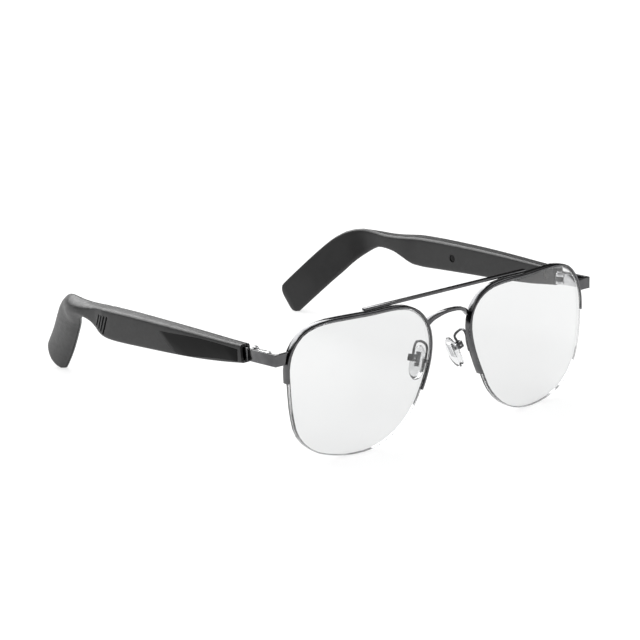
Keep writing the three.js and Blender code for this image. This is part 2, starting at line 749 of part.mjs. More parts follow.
function rectangleOffsets(s0, s1, u0, u1) {
  return [
    [s0, u0],
    [s1, u0],
    [s1, u1],
    [s0, u1],
  ];
}

const LAST_STATION = TEMPLE_STATIONS.length - 1;
const BEND_START = 6; // rings stand closer from here, where the form bends

// Rings from one station number to another, of the offsets that a section gives.
function runAlong(from, to, section) {
  const stations = [from];
  for (let i = 0; i < LAST_STATION; i += i < BEND_START ? 1 : 0.5) {
    if (i > from && i < to) stations.push(i);
  }
  stations.push(to);
  return stations.map((station) => {
    const at = templePath(station);
    return ringAt(at, section(at));
  });
}

const TIP_SHARES = [0.25, 0.45, 0.65, 0.8, 0.91, 0.98, 1];

// Outer form of a temple, cut flat where its tip stands on the table.
function templeForm() {
  const rings = runAlong(0, LAST_STATION, (at) => roundedOffsets(at));
  const end = templePath(LAST_STATION);
  for (const share of TIP_SHARES) {
    const left = Math.sqrt(1 - share * share);
    const centre = end.centre.clone().addScaledVector(end.along, TIP_ROUND * share);
    const halfTall = end.halfTall - TIP_CORNER * (1 - left);
    const halfThick = end.halfThick * THREE.MathUtils.lerp(TIP_THIN, 1, left);
    rings.push(ringAt({ ...end, centre }, roundedOffsets({ ...end, halfTall, halfThick })));
  }
  const table = box(-200, 200, -200, 300, -STAND_HEIGHT, 100);
  return solidOf(loft(rings)).intersect(solidOf(table));
}

// Hollow inside the shells, open at the mouth.
const HOLLOW_END = LAST_STATION - 0.4;

function templeHollow() {
  const section = (at) => roundedOffsets(at, SHELL_WALL);
  const rings = runAlong(0, HOLLOW_END, section);
  const mouth = templePath(0);
  const ahead = mouth.centre.clone().addScaledVector(mouth.along, -2);
  rings.unshift(ringAt({ ...mouth, centre: ahead }, section(mouth)));
  return solidOf(loft(rings));
}

// Everything on one side of the seam between the two shells.
function seamSide(isInner) {
  const margin = 1;
  const section = ({ halfThick, halfTall }) => {
    const seam = COVER_THICK - halfThick;
    const s0 = isInner ? -halfThick - margin : seam + SEAM / 2;
    const s1 = isInner ? seam - SEAM / 2 : halfThick + margin;
    return rectangleOffsets(s0, s1, -halfTall - margin, halfTall + margin);
  };
  const rings = runAlong(0, LAST_STATION, section);
  const extend = (station, length) => {
    const at = templePath(station);
    const centre = at.centre.clone().addScaledVector(at.along, length);
    return ringAt({ ...at, centre }, section(at));
  };
  rings.unshift(extend(0, -margin));
  rings.push(extend(LAST_STATION, TIP_ROUND + margin));
  return solidOf(loft(rings));
}

// Distance back from the mouth on a temple of the station length, as a y.
function templeY(back) {
  return MOUTH_Y + (back * TEMPLE_SPAN) / STATION_SPAN;
}

// The touch panel's outline, back from the mouth and up, grown by a clearance.
const PANEL_MIDDLE = [22, -2.7];
const PANEL_HALF = [20.5, 4];
const PANEL_POINTS = [
  [1.7, 0.4],
  [1.7, -3.7],
  [12.3, -4.8],
  [22.7, -6.4],
  [28.7, -7.5],
  [32.4, -7.6],
  [35.9, -6.5],
  [39.4, -4],
  [42.8, -1.6],
  [36.7, -1.2],
  [29.5, -0.5],
  [20.7, 0.2],
  [12.1, 0.4],
];

function panelPrism(clearance) {
  const plan = new THREE.Shape(
    PANEL_POINTS.map(([back, z]) => {
      const y = PANEL_MIDDLE[0] + (back - PANEL_MIDDLE[0]) * (1 + clearance / PANEL_HALF[0]);
      const up = PANEL_MIDDLE[1] + (z - PANEL_MIDDLE[1]) * (1 + clearance / PANEL_HALF[1]);
      return new THREE.Vector2(templeY(y), up);
    }),
  );
  const prism = new THREE.ExtrudeGeometry(plan, { depth: 20, bevelEnabled: false });
  const turn = new THREE.Matrix4().makeBasis(
    new THREE.Vector3(0, 1, 0),
    new THREE.Vector3(0, 0, 1),
    new THREE.Vector3(1, 0, 0),
  );
  return solidOf(prism.applyMatrix4(turn).translate(STRIP_INSIDE, 0, 0));
}

// The front half of a temple, less a skin of this depth.
function belowSkin(depth) {
  return solidOf(loft(runAlong(0, 4, (at) => roundedOffsets(at, depth))));
}

function touchPanel(form) {
  return geometryOf(form.intersect(panelPrism(0)).subtract(belowSkin(PANEL_THICK)));
}

// Tops and bottoms of the slits: back from the mouth and up, then the step to the next.
const SLIT_COUNT = 4;
const SLIT_TOP = { back: 72.7, up: -3.35, stepBack: 1.8, stepUp: -0.1 };
const SLIT_BOTTOM = { back: 75.5, up: -10.2, stepBack: 1.48, stepUp: 0.7 };

function slitEnd({ back, up, stepBack, stepUp }, i) {
  return [templeY(back + stepBack * i), up + stepUp * i];
}

// Slanted sound slits, shorter towards the ear.
function slitCutters() {
  const cutters = [];
  for (let i = 0; i < SLIT_COUNT; i++) {
    const top = slitEnd(SLIT_TOP, i);
    const bottom = slitEnd(SLIT_BOTTOM, i);
    const run = bottom[0] - top[0];
    const fall = bottom[1] - top[1];
    const slit = new THREE.BoxGeometry(6, SLIT_WIDTH, Math.hypot(run, fall));
    slit.rotateX(-Math.atan2(run, fall));
    const wallX = templePath(6).centre.x + templePath(6).halfThick - SHELL_WALL - 0.6;
    slit.translate(wallX + 3, (top[0] + bottom[0]) / 2, (top[1] + bottom[1]) / 2);
    cutters.push(solidOf(slit));
  }
  return cutters;
}

function outerShell(form, hollow) {
  const pocket = panelPrism(GAP).subtract(belowSkin(PANEL_THICK + GAP));
  let shell = form.intersect(seamSide(false)).subtract(hollow).subtract(pocket);
  for (const slit of slitCutters()) shell = shell.subtract(slit);
  return geometryOf(shell);
}

function innerCover(form, hollow, plugs) {
  let cover = form.intersect(seamSide(true)).subtract(hollow);
  for (const plug of plugs) cover = cover.subtract(solidOf(plugRod(plug, GAP, 2)));
  return geometryOf(cover);
}

// Rod of a plug; the cover's bore is the same rod, wider and longer.
function plugRod({ station, lift, radius, length }, clearance = 0, ahead = 0) {
  const { centre, halfThick } = templePath(station);
  const x = centre.x - halfThick + 0.1;
  const from = new THREE.Vector3(x - ahead, centre.y, centre.z + lift);
  const to = new THREE.Vector3(x + length + ahead, centre.y, centre.z + lift);
  return rod(radius + clearance, from, to, 20);
}

// A piece inside the hollow, of rectangular section.
function inlay(from, to, section) {
  return loft(runAlong(from, to, section));
}

// Stations between which the pieces inside lie, with their sizes and clearances.
const CIRCUIT_BOARD = { from: 0.75, to: 3.7, half: 0.3, margin: 0.6 };
const MICROPHONE = { from: 2.4, to: 2.6, thick: 0.8, half: 1 };
const SPEAKER = { from: 5.2, to: 6.9, inner: 1.3, outer: 1.5, margin: 0.9 };
const SPEAKER_MESH = { from: 5.2, to: 7.2, thick: 0.2, margin: 0.7 };
const FLEX_CABLE = { from: 3.85, to: 11.8, thick: 0.2, half: 1.1, clear: 0.15 };

function circuitBoard() {
  const { from, to, half, margin } = CIRCUIT_BOARD;
  return inlay(from, to, ({ halfTall }) => {
    const u = halfTall - SHELL_WALL - margin;
    return rectangleOffsets(-half, half, -u, u);
  });
}

function microphone() {
  const { from, to, thick, half } = MICROPHONE;
  const front = CIRCUIT_BOARD.half + GAP;
  return inlay(from, to, () => rectangleOffsets(-front - thick, -front, -half, half));
}

function speaker() {
  const { from, to, inner, outer, margin } = SPEAKER;
  return inlay(from, to, ({ halfTall }) => {
    const u = halfTall - SHELL_WALL - margin;
    return rectangleOffsets(-inner, outer, -u, u);
  });
}

function speakerMesh() {
  const { from, to, thick, margin } = SPEAKER_MESH;
  return inlay(from, to, ({ halfThick, halfTall }) => {
    const s = halfThick - SHELL_WALL - GAP;
    const u = halfTall - SHELL_WALL - margin;
    return rectangleOffsets(s - thick, s, -u, u);
  });
}

// Ribbon that runs beside the inner cover from the board to the tip.
function flexCable() {
  const { from, to, thick, half, clear } = FLEX_CABLE;
  return inlay(from, to, ({ halfThick }) => {
    const s = SHELL_WALL - halfThick + clear;
    return rectangleOffsets(s, s + thick, -half, half);
  });
}

function battery() {
  return inlay(12, HOLLOW_END - 0.3, (at) => roundedOffsets(at, SHELL_WALL + 0.4));
}

function templeMeshes(side, hasWindow) {
  const form = templeForm();
  const hollow = templeHollow();
  const contact = { station: 0.38, lift: 0, radius: CONTACT_RADIUS, length: 1.3 };
  const window = { station: 3.58, lift: -0.1, radius: WINDOW_RADIUS, length: 1.6 };
  const plugs = hasWindow ? [contact, window] : [contact];
  const meshes = [
    mesh(`temple_shell_${side}`, outerShell(form, hollow), finish.shell),
    mesh(`temple_cover_${side}`, innerCover(form, hollow, plugs), finish.shell),
    mesh(`touch_panel_${side}`, touchPanel(form), finish.gloss),
    mesh(`temple_hinge_leaf_${side}`, templeLeaf(), finish.gunmetal),
    mesh(`charge_contact_${side}`, plugRod(contact), finish.gold),
    mesh(`circuit_board_${side}`, circuitBoard(), finish.board),
    mesh(`microphone_${side}`, microphone(), finish.steel),
    mesh(`speaker_${side}`, speaker(), finish.darkSteel),
    mesh(`speaker_mesh_${side}`, speakerMesh(), finish.mesh),
    mesh(`flex_cable_${side}`, flexCable(), finish.flex),
    mesh(`battery_${side}`, battery(), finish.cell),
  ];
  if (hasWindow) meshes.push(mesh(`wear_sensor_${side}`, plugRod(window), finish.windowBlack));
  return meshes;
}

// ---- Assembly ----

function sideGroup(side, hasWindow) {
  const group = new THREE.Group();
  group.add(lensGroup(side));
  group.add(mesh(`end_piece_${side}`, endPiece(), finish.gunmetal));
  group.add(mesh(`front_hinge_leaf_${side}`, frontLeaf(), finish.gunmetal));
  group.add(mesh(`hinge_screw_${side}`, hingeScrew(), finish.steel));
  group.add(mesh(`pad_arm_${side}`, padArm(), finish.gunmetal));
  const pad = padGroup();
  pad.add(mesh(`pad_box_${side}`, padBox(), finish.gunmetal));
  pad.add(mesh(`nose_pad_${side}`, padGeometry(), finish.pad));
  pad.add(mesh(`pad_core_${side}`, padCore(), finish.steel));
  pad.add(mesh(`pad_screw_${side}`, padScrew(), finish.steel));
  group.add(pad);
  group.add(...templeMeshes(side, hasWindow));
  return group;
}

const glasses = new THREE.Group();
glasses.position.set(0, FRONT_REACH - DEPTH / 2, STAND_HEIGHT);
glasses.add(mesh("brow_bar", browBar(), finish.gunmetal));
glasses.add(mesh("bridge", bridgeGeometry(), finish.gunmetal));
const leftSide = sideGroup("left", true);
const rightSide = sideGroup("right", false);
rightSide.scale.x = -1;
glasses.add(leftSide, rightSide);

export default glasses;
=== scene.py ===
# %% [markdown]
# # Smart glasses, finished in Blender
# The glasses are half rimmed: a plated metal upper frame, clear lenses held by a
# cord, clear nose pads, and moulded temples that hold the electronics.
# The parts frame already holds every piece at its real size and place. This
# lesson sets up the studio for the picture and gives each piece its fine surface.

# %% Load the parts frame
import bpy
import math
from mathutils import Matrix, Vector


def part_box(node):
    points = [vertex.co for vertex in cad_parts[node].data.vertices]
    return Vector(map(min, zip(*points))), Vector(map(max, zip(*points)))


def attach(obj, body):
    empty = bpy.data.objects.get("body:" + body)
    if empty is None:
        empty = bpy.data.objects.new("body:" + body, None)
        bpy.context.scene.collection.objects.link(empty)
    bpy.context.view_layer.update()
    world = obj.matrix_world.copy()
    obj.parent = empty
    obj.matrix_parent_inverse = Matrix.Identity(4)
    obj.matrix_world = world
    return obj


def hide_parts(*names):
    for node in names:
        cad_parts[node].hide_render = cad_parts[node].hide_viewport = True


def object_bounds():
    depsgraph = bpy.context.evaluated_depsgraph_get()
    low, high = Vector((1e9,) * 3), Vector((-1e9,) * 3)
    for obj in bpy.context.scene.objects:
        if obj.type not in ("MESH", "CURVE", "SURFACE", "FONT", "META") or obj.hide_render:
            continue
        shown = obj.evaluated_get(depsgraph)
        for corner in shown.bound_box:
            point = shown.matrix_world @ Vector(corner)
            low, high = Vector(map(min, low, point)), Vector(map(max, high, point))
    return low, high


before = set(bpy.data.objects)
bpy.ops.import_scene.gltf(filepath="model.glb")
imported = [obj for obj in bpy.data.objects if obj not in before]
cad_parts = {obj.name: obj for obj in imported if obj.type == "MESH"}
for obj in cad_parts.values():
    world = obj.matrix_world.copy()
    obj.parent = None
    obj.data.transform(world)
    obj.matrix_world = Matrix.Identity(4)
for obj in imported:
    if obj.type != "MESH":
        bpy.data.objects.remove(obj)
frame_low, frame_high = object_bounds()
print("parts:", len(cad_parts))
print("size in mm:", [round(1000 * s, 1) for s in frame_high - frame_low])

# %% [markdown]
# ## Camera
# A long lens keeps the two temples nearly parallel, as in a catalogue picture.
# The camera stands at the wearer's right, a little above the glasses. Its three
# axes are worked out from two angles and a small roll, because that is easier to
# adjust than a matrix.

# %% Set the camera
CAMERA_TURN = math.radians(39.11)
CAMERA_RISE = math.radians(16.21)
CAMERA_ROLL = -0.018012
CAMERA_PLACE = Vector((-0.74204, -0.92171, 0.36650))
LENS_LENGTH = 192.58
SENSOR_WIDTH = 36
NEAREST_SEEN = 0.05

forward = Vector((
    math.sin(CAMERA_TURN) * math.cos(CAMERA_RISE),
    math.cos(CAMERA_TURN) * math.cos(CAMERA_RISE),
    -math.sin(CAMERA_RISE),
))
level_right = Vector((math.cos(CAMERA_TURN), -math.sin(CAMERA_TURN), 0))
level_up = level_right.cross(forward)
camera_right = math.cos(CAMERA_ROLL) * level_right + math.sin(CAMERA_ROLL) * level_up
camera_up = camera_right.cross(forward)

bpy.ops.object.camera_add()
camera = bpy.context.object
camera.name = "studio_camera"
axes = Matrix((camera_right, camera_up, -forward)).transposed()
camera.matrix_world = Matrix.Translation(CAMERA_PLACE) @ axes.to_4x4()
camera.data.lens = LENS_LENGTH
camera.data.sensor_width = SENSOR_WIDTH
camera.data.clip_start = NEAREST_SEEN
bpy.context.scene.camera = camera
print("camera at", [round(c, 3) for c in camera.location])

# %% [markdown]
# ## Studio
# Polished metal looks like whatever stands round it. The room is dark near the
# horizon and pale overhead, so the tops of the wires go black while the faces
# that see the white table stay light. A camera ray sees a plain pale room.
# The table shines a little of its own light, which keeps the shadows faint.

# %% Pale table
TABLE_SIZE = 12
TABLE_GAP = 0.0002
PAPER_SHADE = (0.36, 0.36, 0.36, 1)
PAPER_GLOW = 0.71
bpy.ops.mesh.primitive_plane_add(size=TABLE_SIZE, location=(0, 0, frame_low.z - TABLE_GAP))
table_top = bpy.context.object
table_top.name = "studio_table"
paper = bpy.data.materials.new("white_paper")
paper.use_nodes = True
paper_shader = paper.node_tree.nodes["Principled BSDF"]
paper_shader.inputs["Base Color"].default_value = PAPER_SHADE
paper_shader.inputs["Roughness"].default_value = 0.9
paper_shader.inputs["Specular IOR Level"].default_value = 0.1
paper_shader.inputs["Emission Color"].default_value = (1, 1, 1, 1)
paper_shader.inputs["Emission Strength"].default_value = PAPER_GLOW
table_top.data.materials.append(paper)
print("table is", TABLE_SIZE, "m wide")

# %% [markdown]
# A world gives light from every direction, so a ramp on the height of the
# direction is enough for the whole room. The plain view transform keeps white
# paper white.

# %% Room light
DARK_BELOW = 0.38
PALE_ABOVE = 0.62
HORIZON = (0.02, 0.02, 0.02, 1)
CEILING = (0.9, 0.9, 0.9, 1)
BACKDROP = (0.93, 0.93, 0.93, 1)
bpy.context.scene.view_settings.view_transform = "Standard"
room = bpy.data.worlds.new("studio_room")
bpy.context.scene.world = room
room.use_nodes = True
room_nodes = room.node_tree.nodes
room_links = room.node_tree.links
room_glow = room_nodes["Background"]
direction = room_nodes.new("ShaderNodeTexCoord")
height = room_nodes.new("ShaderNodeSeparateXYZ")
fade = room_nodes.new("ShaderNodeValToRGB")
fade.color_ramp.elements[0].position = DARK_BELOW
fade.color_ramp.elements[0].color = HORIZON
fade.color_ramp.elements[1].position = PALE_ABOVE
fade.color_ramp.elements[1].color = CEILING
seen = room_nodes.new("ShaderNodeLightPath")
choose = room_nodes.new("ShaderNodeMix")
choose.data_type = "RGBA"
choose.inputs[7].default_value = BACKDROP
room_links.new(direction.outputs["Generated"], height.inputs[0])
room_links.new(height.outputs["Z"], fade.inputs["Fac"])
room_links.new(seen.outputs["Is Camera Ray"], choose.inputs["Factor"])
room_links.new(fade.outputs["Color"], choose.inputs[6])
room_links.new(choose.outputs[2], room_glow.inputs["Color"])
print("room light fades in above", round(math.degrees(math.asin(DARK_BELOW))), "degrees")


# %% [markdown]
# A softbox is a large even lamp. The one behind and above the glasses draws the
# pale band along the top edge of each temple, and a weaker one in front fills
# the lenses and the bridge.

# %% Softboxes
def softbox(name, place, width, tall, power):
    bpy.ops.object.light_add(type="AREA", location=place)
    lamp = bpy.context.object
    lamp.name = name
    lamp.data.shape = "RECTANGLE"
    lamp.data.size = width
    lamp.data.size_y = tall
    lamp.data.energy = power
    lamp.rotation_euler = (-Vector(place)).to_track_quat("-Z", "Y").to_euler()
    return lamp


softbox("rear_softbox", (0.0, 1.4, 0.92), 2.0, 0.95, 31)
softbox("front_softbox", (0.9, -1.2, 1.0), 0.7, 0.7, 4)


# %% [markdown]
# ## Working on one piece
# Blender's operators act on what is selected. These two helpers clear the
# selection and hand one piece to the operators.

# %% Selection helpers
def take_up(piece):
    bpy.ops.object.select_all(action="DESELECT")
    piece.select_set(True)
    bpy.context.view_layer.objects.active = piece


def in_edit_mode(piece, *steps):
    take_up(piece)
    bpy.ops.object.mode_set(mode="EDIT")
    for step in steps:
        step()
    bpy.ops.object.mode_set(mode="OBJECT")


print("helpers ready")


# %% [markdown]
# ## From frame part to finished skin
# A part in the frame is a heap of loose triangles with hard edges. Three steps
# turn a copy of it into a finished skin: join the triangles, round the sharp
# edges with a bevel as tumbling or polishing does, and shade the gentle turns
# smoothly. The frame part stays where it is, hidden, and the finished piece
# stands for it in the picture. The frame part stays where it is for the motion
# tests, and the finished piece stands for it in the picture. A moulded form is
# softened with a subdivision surface instead of a bevel, and creases hold its
# sharp edges.

# %% Skin helpers
MERGE_DISTANCE = 0.000002
FLAT_LIMIT = 0.35
SHAPE_LIMIT = 0.7
FULL_CREASE = 1


def merged_copy(node, name):
    piece = bpy.data.objects.new(name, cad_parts[node].data.copy())
    bpy.context.scene.collection.objects.link(piece)
    piece.data.materials.clear()
    in_edit_mode(
        piece,
        lambda: bpy.ops.mesh.select_all(action="SELECT"),
        lambda: bpy.ops.mesh.remove_doubles(threshold=MERGE_DISTANCE),
        lambda: bpy.ops.mesh.tris_convert_to_quads(
            face_threshold=FLAT_LIMIT, shape_threshold=SHAPE_LIMIT
        ),
    )
    bpy.ops.mesh.customdata_custom_splitnormals_clear()
    return piece


def round_edges(piece, width, corner=40, segments=2):
    take_up(piece)
    bevel = piece.modifiers.new("rounded edges", "BEVEL")
    bevel.width = width
    bevel.segments = segments
    bevel.limit_method = "ANGLE"
    bevel.angle_limit = math.radians(corner)
    bevel.harden_normals = False
    bpy.ops.object.modifier_apply(modifier=bevel.name)


def hold_edges(piece, corner):
    in_edit_mode(
        piece,
        lambda: bpy.ops.mesh.select_all(action="DESELECT"),
        lambda: bpy.ops.mesh.edges_select_sharp(sharpness=math.radians(corner)),
        lambda: bpy.ops.transform.edge_crease(value=FULL_CREASE),
    )


def soften(piece, levels):
    take_up(piece)
    curve = piece.modifiers.new("softened form", "SUBSURF")
    curve.levels = curve.render_levels = levels
    curve.boundary_smooth = "PRESERVE_CORNERS"
    bpy.ops.object.modifier_apply(modifier=curve.name)


def smooth_turns(piece, corner=35):
    take_up(piece)
    bpy.ops.object.shade_smooth_by_angle(angle=math.radians(corner))


def hand_over(piece, finish, slot, body, *nodes):
    piece.data.materials.clear()
    piece.data.materials.append(finish)
    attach(piece, body)
    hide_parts(*nodes)
    print(piece.name, len(piece.data.polygons), "faces on", body)


SIDES = ("left", "right")
print("sides:", SIDES)

# %% [markdown]
# ## Finishes
# Every finish starts from the same recipe: two close shades mixed by a soft
# noise, a roughness that wanders a little, and a very small bump. The size of
# the noise is what makes it read as plating, moulded plastic or rubber, so each
# finish gives it in metres.

# %% Recipe for a finish
NOISE_LOW = 0.3
NOISE_HIGH = 0.7


def noise(finish, size, detail=3, stretch=(1, 1, 1)):
    nodes, links = finish.node_tree.nodes, finish.node_tree.links
    place = nodes.new("ShaderNodeTexCoord")
    mapping = nodes.new("ShaderNodeMapping")
    mapping.inputs["Scale"].default_value = stretch
    texture = nodes.new("ShaderNodeTexNoise")
    texture.inputs["Scale"].default_value = 1 / size
    texture.inputs["Detail"].default_value = detail
    links.new(place.outputs["Object"], mapping.inputs["Vector"])
    links.new(mapping.outputs["Vector"], texture.inputs["Vector"])
    return texture.outputs["Fac"]


def vary_colour(finish, fac, dark, light):
    nodes, links = finish.node_tree.nodes, finish.node_tree.links
    ramp = nodes.new("ShaderNodeValToRGB")
    ramp.color_ramp.elements[0].position = NOISE_LOW
    ramp.color_ramp.elements[0].color = (*dark, 1)
    ramp.color_ramp.elements[1].position = NOISE_HIGH
    ramp.color_ramp.elements[1].color = (*light, 1)
    links.new(fac, ramp.inputs["Fac"])
    links.new(ramp.outputs["Color"], nodes["Principled BSDF"].inputs["Base Color"])


def vary_roughness(finish, fac, low, high):
    nodes, links = finish.node_tree.nodes, finish.node_tree.links
    spread = nodes.new("ShaderNodeMapRange")
    spread.inputs["From Min"].default_value = NOISE_LOW
    spread.inputs["From Max"].default_value = NOISE_HIGH
    spread.inputs["To Min"].default_value = low
    spread.inputs["To Max"].default_value = high
    links.new(fac, spread.inputs["Value"])
    links.new(spread.outputs["Result"], nodes["Principled BSDF"].inputs["Roughness"])


def raise_grain(finish, fac, depth):
    nodes, links = finish.node_tree.nodes, finish.node_tree.links
    bump = nodes.new("ShaderNodeBump")
    bump.inputs["Distance"].default_value = depth
    bump.inputs["Strength"].default_value = 1
    links.new(fac, bump.inputs["Height"])
    links.new(bump.outputs["Normal"], nodes["Principled BSDF"].inputs["Normal"])


def new_finish(name, metallic=0.0):
    finish = bpy.data.materials.new(name)
    finish.use_nodes = True
    finish.node_tree.nodes["Principled BSDF"].inputs["Metallic"].default_value = metallic
    return finish


print("noise runs from", NOISE_LOW, "to", NOISE_HIGH)

# %% [markdown]
# Dark plating on polished wire is nearly a mirror, with a few fine polishing
# lines. Its colour sits well under silver, so the white table turns grey in it.

# %% Metal finishes
gunmetal = new_finish("gunmetal_plating", metallic=1.0)
vary_colour(gunmetal, noise(gunmetal, 0.004), (0.085, 0.085, 0.088), (0.125, 0.125, 0.128))
vary_roughness(gunmetal, noise(gunmetal, 0.0012, stretch=(0.3, 1, 1)), 0.10, 0.2)
raise_grain(gunmetal, noise(gunmetal, 0.0005, stretch=(0.2, 1, 1)), 0.000002)

bright_steel = new_finish("bright_steel", metallic=1.0)
vary_colour(bright_steel, noise(bright_steel, 0.002), (0.6, 0.6, 0.61), (0.75, 0.75, 0.76))
vary_roughness(bright_steel, noise(bright_steel, 0.0006), 0.15, 0.28)
raise_grain(bright_steel, noise(bright_steel, 0.0003), 0.000003)

dark_contact = new_finish("dark_contact_plating", metallic=1.0)
vary_colour(dark_contact, noise(dark_contact, 0.001), (0.05, 0.049, 0.047), (0.09, 0.088, 0.084))
vary_roughness(dark_contact, noise(dark_contact, 0.0004), 0.2, 0.35)

mesh_steel = new_finish("coated_mesh_steel", metallic=1.0)
vary_colour(mesh_steel, noise(mesh_steel, 0.001), (0.05, 0.05, 0.055), (0.1, 0.1, 0.105))
vary_roughness(mesh_steel, noise(mesh_steel, 0.0004), 0.35, 0.5)
print("metals:", gunmetal.name, bright_steel.name, dark_contact.name, mesh_steel.name)

# %% [markdown]
# The shells are injection moulded and spark eroded: a fine even grain that
# spreads the light into soft grey bands. The touch strip is polished instead,
# so it mirrors the room and looks blacker than the shell round it.

# %% Plastic finishes
satin_shell = new_finish("satin_shell")
vary_colour(satin_shell, noise(satin_shell, 0.006), (0.009, 0.009, 0.0093), (0.013, 0.013, 0.0134))
vary_roughness(satin_shell, noise(satin_shell, 0.0015), 0.42, 0.5)
raise_grain(satin_shell, noise(satin_shell, 0.00022, detail=2), 0.000012)

gloss_strip = new_finish("gloss_strip")
gloss_strip.node_tree.nodes["Principled BSDF"].inputs["Specular IOR Level"].default_value = 0.12
vary_colour(gloss_strip, noise(gloss_strip, 0.01), (0.002, 0.002, 0.002), (0.004, 0.004, 0.0041))
vary_roughness(gloss_strip, noise(gloss_strip, 0.003), 0.03, 0.07)

clear_nylon = new_finish("clear_nylon")
vary_colour(clear_nylon, noise(clear_nylon, 0.003), (0.78, 0.78, 0.79), (0.88, 0.88, 0.89))
vary_roughness(clear_nylon, noise(clear_nylon, 0.001), 0.1, 0.2)
clear_nylon.node_tree.nodes["Principled BSDF"].inputs["Transmission Weight"].default_value = 0.8
print("plastics:", satin_shell.name, gloss_strip.name, clear_nylon.name)

# %% [markdown]
# A lens is a clear moulding with a hard coat. It is made as real glass with
# thickness, so its edge gathers light by itself. Silicone is softer: a little
# rough, and it bends the light less.

# %% Clear finishes
clear_lens = new_finish("clear_lens")
vary_colour(clear_lens, noise(clear_lens, 0.05), (0.75, 0.755, 0.755), (0.79, 0.795, 0.795))
vary_roughness(clear_lens, noise(clear_lens, 0.02), 0.0, 0.01)
lens_shader = clear_lens.node_tree.nodes["Principled BSDF"]
lens_shader.inputs["Transmission Weight"].default_value = 1.0
lens_shader.inputs["IOR"].default_value = 1.5

clear_silicone = new_finish("clear_silicone")
vary_colour(clear_silicone, noise(clear_silicone, 0.004), (0.74, 0.745, 0.75), (0.82, 0.825, 0.83))
vary_roughness(clear_silicone, noise(clear_silicone, 0.001), 0.06, 0.14)
silicone_shader = clear_silicone.node_tree.nodes["Principled BSDF"]
silicone_shader.inputs["Transmission Weight"].default_value = 1.0
silicone_shader.inputs["IOR"].default_value = 1.41
print("clear finishes:", clear_lens.name, clear_silicone.name)

# %% [markdown]
# The electronics are out of sight in the closed shells. They keep their plain
# shapes, with a simple finish each: green solder mask, amber film, pouch foil.

# %% Finishes of the hidden parts
solder_mask = new_finish("solder_mask")
vary_colour(solder_mask, noise(solder_mask, 0.0012), (0.01, 0.07, 0.03), (0.02, 0.12, 0.05))
vary_roughness(solder_mask, noise(solder_mask, 0.0006), 0.25, 0.4)

amber_film = new_finish("amber_film")
vary_colour(amber_film, noise(amber_film, 0.0015), (0.3, 0.11, 0.02), (0.42, 0.17, 0.03))
vary_roughness(amber_film, noise(amber_film, 0.0008), 0.2, 0.35)

pouch_foil = new_finish("pouch_foil", metallic=1.0)
vary_colour(pouch_foil, noise(pouch_foil, 0.003), (0.48, 0.49, 0.51), (0.58, 0.59, 0.61))
vary_roughness(pouch_foil, noise(pouch_foil, 0.0015), 0.25, 0.4)
raise_grain(pouch_foil, noise(pouch_foil, 0.0012), 0.00003)

HIDDEN = {
    "circuit_board": solder_mask,
    "flex_cable": amber_film,
    "battery": pouch_foil,
    "microphone": mesh_steel,
    "speaker": mesh_steel,
    "speaker_mesh": mesh_steel,
}
for part, finish in HIDDEN.items():
    for side in SIDES:
        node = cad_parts[f"{part}_{side}"]
        node.data.materials.clear()
        node.data.materials.append(finish)
print("hidden parts finished:", 2 * len(HIDDEN))

# %% [markdown]
# ## Metal frame
# Each rim is a wire pressed into a channel that covers the upper part of its
# lens. The bar and the arched bridge are brazed across, and a bent strip at each
# end carries the hinge. All of it is tumbled and plated, so the edges have a
# tiny round that catches the light.

# %% Rims, bar, bridge and end pieces
WIRE_ROUND = 0.00012
STRIP_ROUND = 0.00015
for side in SIDES:
    rim = merged_copy(f"rim_{side}", f"{side}_rim_wire")
    round_edges(rim, WIRE_ROUND)
    smooth_turns(rim)
    hand_over(rim, gunmetal, "frame_metal", "front", f"rim_{side}")

    end_piece = merged_copy(f"end_piece_{side}", f"{side}_end_strip")
    round_edges(end_piece, STRIP_ROUND)
    smooth_turns(end_piece)
    hand_over(end_piece, gunmetal, "frame_metal", "front", f"end_piece_{side}")

for part, name in (("brow_bar", "top_bar"), ("bridge", "arched_bridge")):
    piece = merged_copy(part, name)
    round_edges(piece, WIRE_ROUND)
    smooth_turns(piece)
    hand_over(piece, gunmetal, "frame_metal", "front", part)

# %% [markdown]
# ## Lenses and what holds them
# The lens sits in a clear liner inside the rim, and below the rim a nylon cord
# runs in a groove round its edge.

# %% Lenses, liners and cords
for side in SIDES:
    lens = merged_copy(f"lens_{side}", f"{side}_lens_moulding")
    smooth_turns(lens, corner=30)
    hand_over(lens, clear_lens, "lens", "front", f"lens_{side}")

    for part, name in (("rim_liner", "liner"), ("lens_cord", "holding_cord")):
        strip = merged_copy(f"{part}_{side}", f"{side}_{name}")
        smooth_turns(strip, corner=50)
        hand_over(strip, clear_nylon, "nylon", "front", f"{part}_{side}")

# %% [markdown]
# ## Nose pads
# Each pad is clear silicone moulded round a small metal core. A screw holds the
# core in a box, and a bent wire arm carries the box.

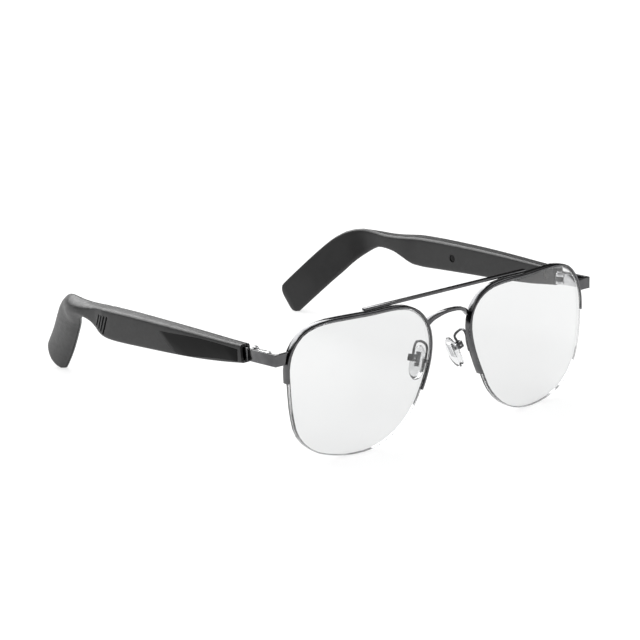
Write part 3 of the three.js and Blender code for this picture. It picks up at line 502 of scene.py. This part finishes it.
# %% Pads, cores, boxes and arms
SMALL_ROUND = 0.00006
BOX_ROUND = 0.00025
for side in SIDES:
    pad = merged_copy(f"nose_pad_{side}", f"{side}_silicone_pad")
    smooth_turns(pad, corner=45)
    hand_over(pad, clear_silicone, "pad_silicone", f"{side}_pad", f"nose_pad_{side}")

    core = merged_copy(f"pad_core_{side}", f"{side}_pad_insert")
    round_edges(core, SMALL_ROUND)
    smooth_turns(core)
    hand_over(core, bright_steel, "steel", f"{side}_pad", f"pad_core_{side}")

    box = merged_copy(f"pad_box_{side}", f"{side}_pad_holder")
    round_edges(box, BOX_ROUND, segments=3)
    smooth_turns(box)
    hand_over(box, gunmetal, "frame_metal", "front", f"pad_box_{side}")

    arm = merged_copy(f"pad_arm_{side}", f"{side}_pad_wire")
    smooth_turns(arm, corner=50)
    hand_over(arm, gunmetal, "frame_metal", "front", f"pad_arm_{side}")

    screw = merged_copy(f"pad_screw_{side}", f"{side}_pad_pin")
    round_edges(screw, SMALL_ROUND)
    smooth_turns(screw)
    hand_over(screw, bright_steel, "steel", "front", f"pad_screw_{side}")

# %% [markdown]
# ## Temples
# Each temple is two mouldings that meet in a fine groove: an outer shell with
# the sound slits and the touch strip, and an inner cover.

# %% Shells, covers and touch strips
GLOSS_ROUND = 0.00008
SOFTER_LEVELS = 2
for side in SIDES:
    for part, name in (("temple_shell", "outer_shell"), ("temple_cover", "inner_cover")):
        piece = merged_copy(f"{part}_{side}", f"{side}_{name}")
        hold_edges(piece, corner=50)
        soften(piece, SOFTER_LEVELS)
        smooth_turns(piece, corner=40)
        hand_over(piece, satin_shell, "shell", f"{side}_temple", f"{part}_{side}")

    strip = merged_copy(f"touch_panel_{side}", f"{side}_touch_strip")
    round_edges(strip, GLOSS_ROUND)
    smooth_turns(strip)
    hand_over(strip, gloss_strip, "gloss_black", f"{side}_temple", f"touch_panel_{side}")

# %% [markdown]
# ## Hinges and small fittings
# A leaf on the end piece and a leaf in the temple turn on one screw. A small
# plated stud in each inner cover takes the charging lead.

# %% Hinge leaves, screws and contacts
FITTING_ROUND = 0.0001
for side in SIDES:
    for part, name, body in (
        ("front_hinge_leaf", "front_leaf", "front"),
        ("temple_hinge_leaf", "temple_leaf", f"{side}_temple"),
        ("hinge_screw", "hinge_pin", "front"),
    ):
        piece = merged_copy(f"{part}_{side}", f"{side}_{name}")
        round_edges(piece, FITTING_ROUND)
        smooth_turns(piece)
        finish = gunmetal if part == "temple_hinge_leaf" else bright_steel
        hand_over(piece, finish, "steel", body, f"{part}_{side}")

    contact = merged_copy(f"charge_contact_{side}", f"{side}_charge_stud")
    round_edges(contact, FITTING_ROUND)
    smooth_turns(contact)
    hand_over(contact, dark_contact, "contact_metal", f"{side}_temple", f"charge_contact_{side}")

# %% [markdown]
# The wear sensor looks out through a small dark window in the left inner cover.
# It is a short cylinder whose outer face is inset and sunk, so that a narrow lip
# stands round it. The cylinder's axis is turned to the wearer's side first.

# %% Model the sensor window
window_low, window_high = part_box("wear_sensor_left")
window_radius = (window_high.y - window_low.y) / 2
bpy.ops.object.select_all(action="DESELECT")
bpy.ops.mesh.primitive_cylinder_add(
    vertices=48,
    radius=window_radius,
    depth=window_high.x - window_low.x,
    location=(window_low + window_high) / 2,
    rotation=(0, math.radians(-90), 0),
)
window = bpy.context.object
window.name = "wear_sensor_window"
bpy.ops.object.transform_apply(location=True, rotation=True, scale=True)


def pick_faces(piece, test):
    bpy.ops.mesh.select_all(action="DESELECT")
    bpy.ops.object.mode_set(mode="OBJECT")
    for face in piece.data.polygons:
        face.select = test(face)
    bpy.ops.object.mode_set(mode="EDIT")


LIP = 0.00022
SINK = 0.00012
LIP_ROUND = 0.00004
FACES_INWARD = -0.9
in_edit_mode(
    window,
    lambda: pick_faces(window, lambda face: face.normal.x < FACES_INWARD),
    lambda: bpy.ops.mesh.inset(thickness=LIP),
    lambda: bpy.ops.transform.translate(value=(SINK, 0, 0)),
    lambda: bpy.ops.mesh.inset(thickness=LIP),
    lambda: bpy.ops.transform.translate(value=(-SINK / 3, 0, 0)),
)
round_edges(window, LIP_ROUND)
smooth_turns(window)
hand_over(window, gloss_strip, "gloss_black", "left_temple", "wear_sensor_left")
print("window is", round(2000 * window_radius, 2), "mm across")
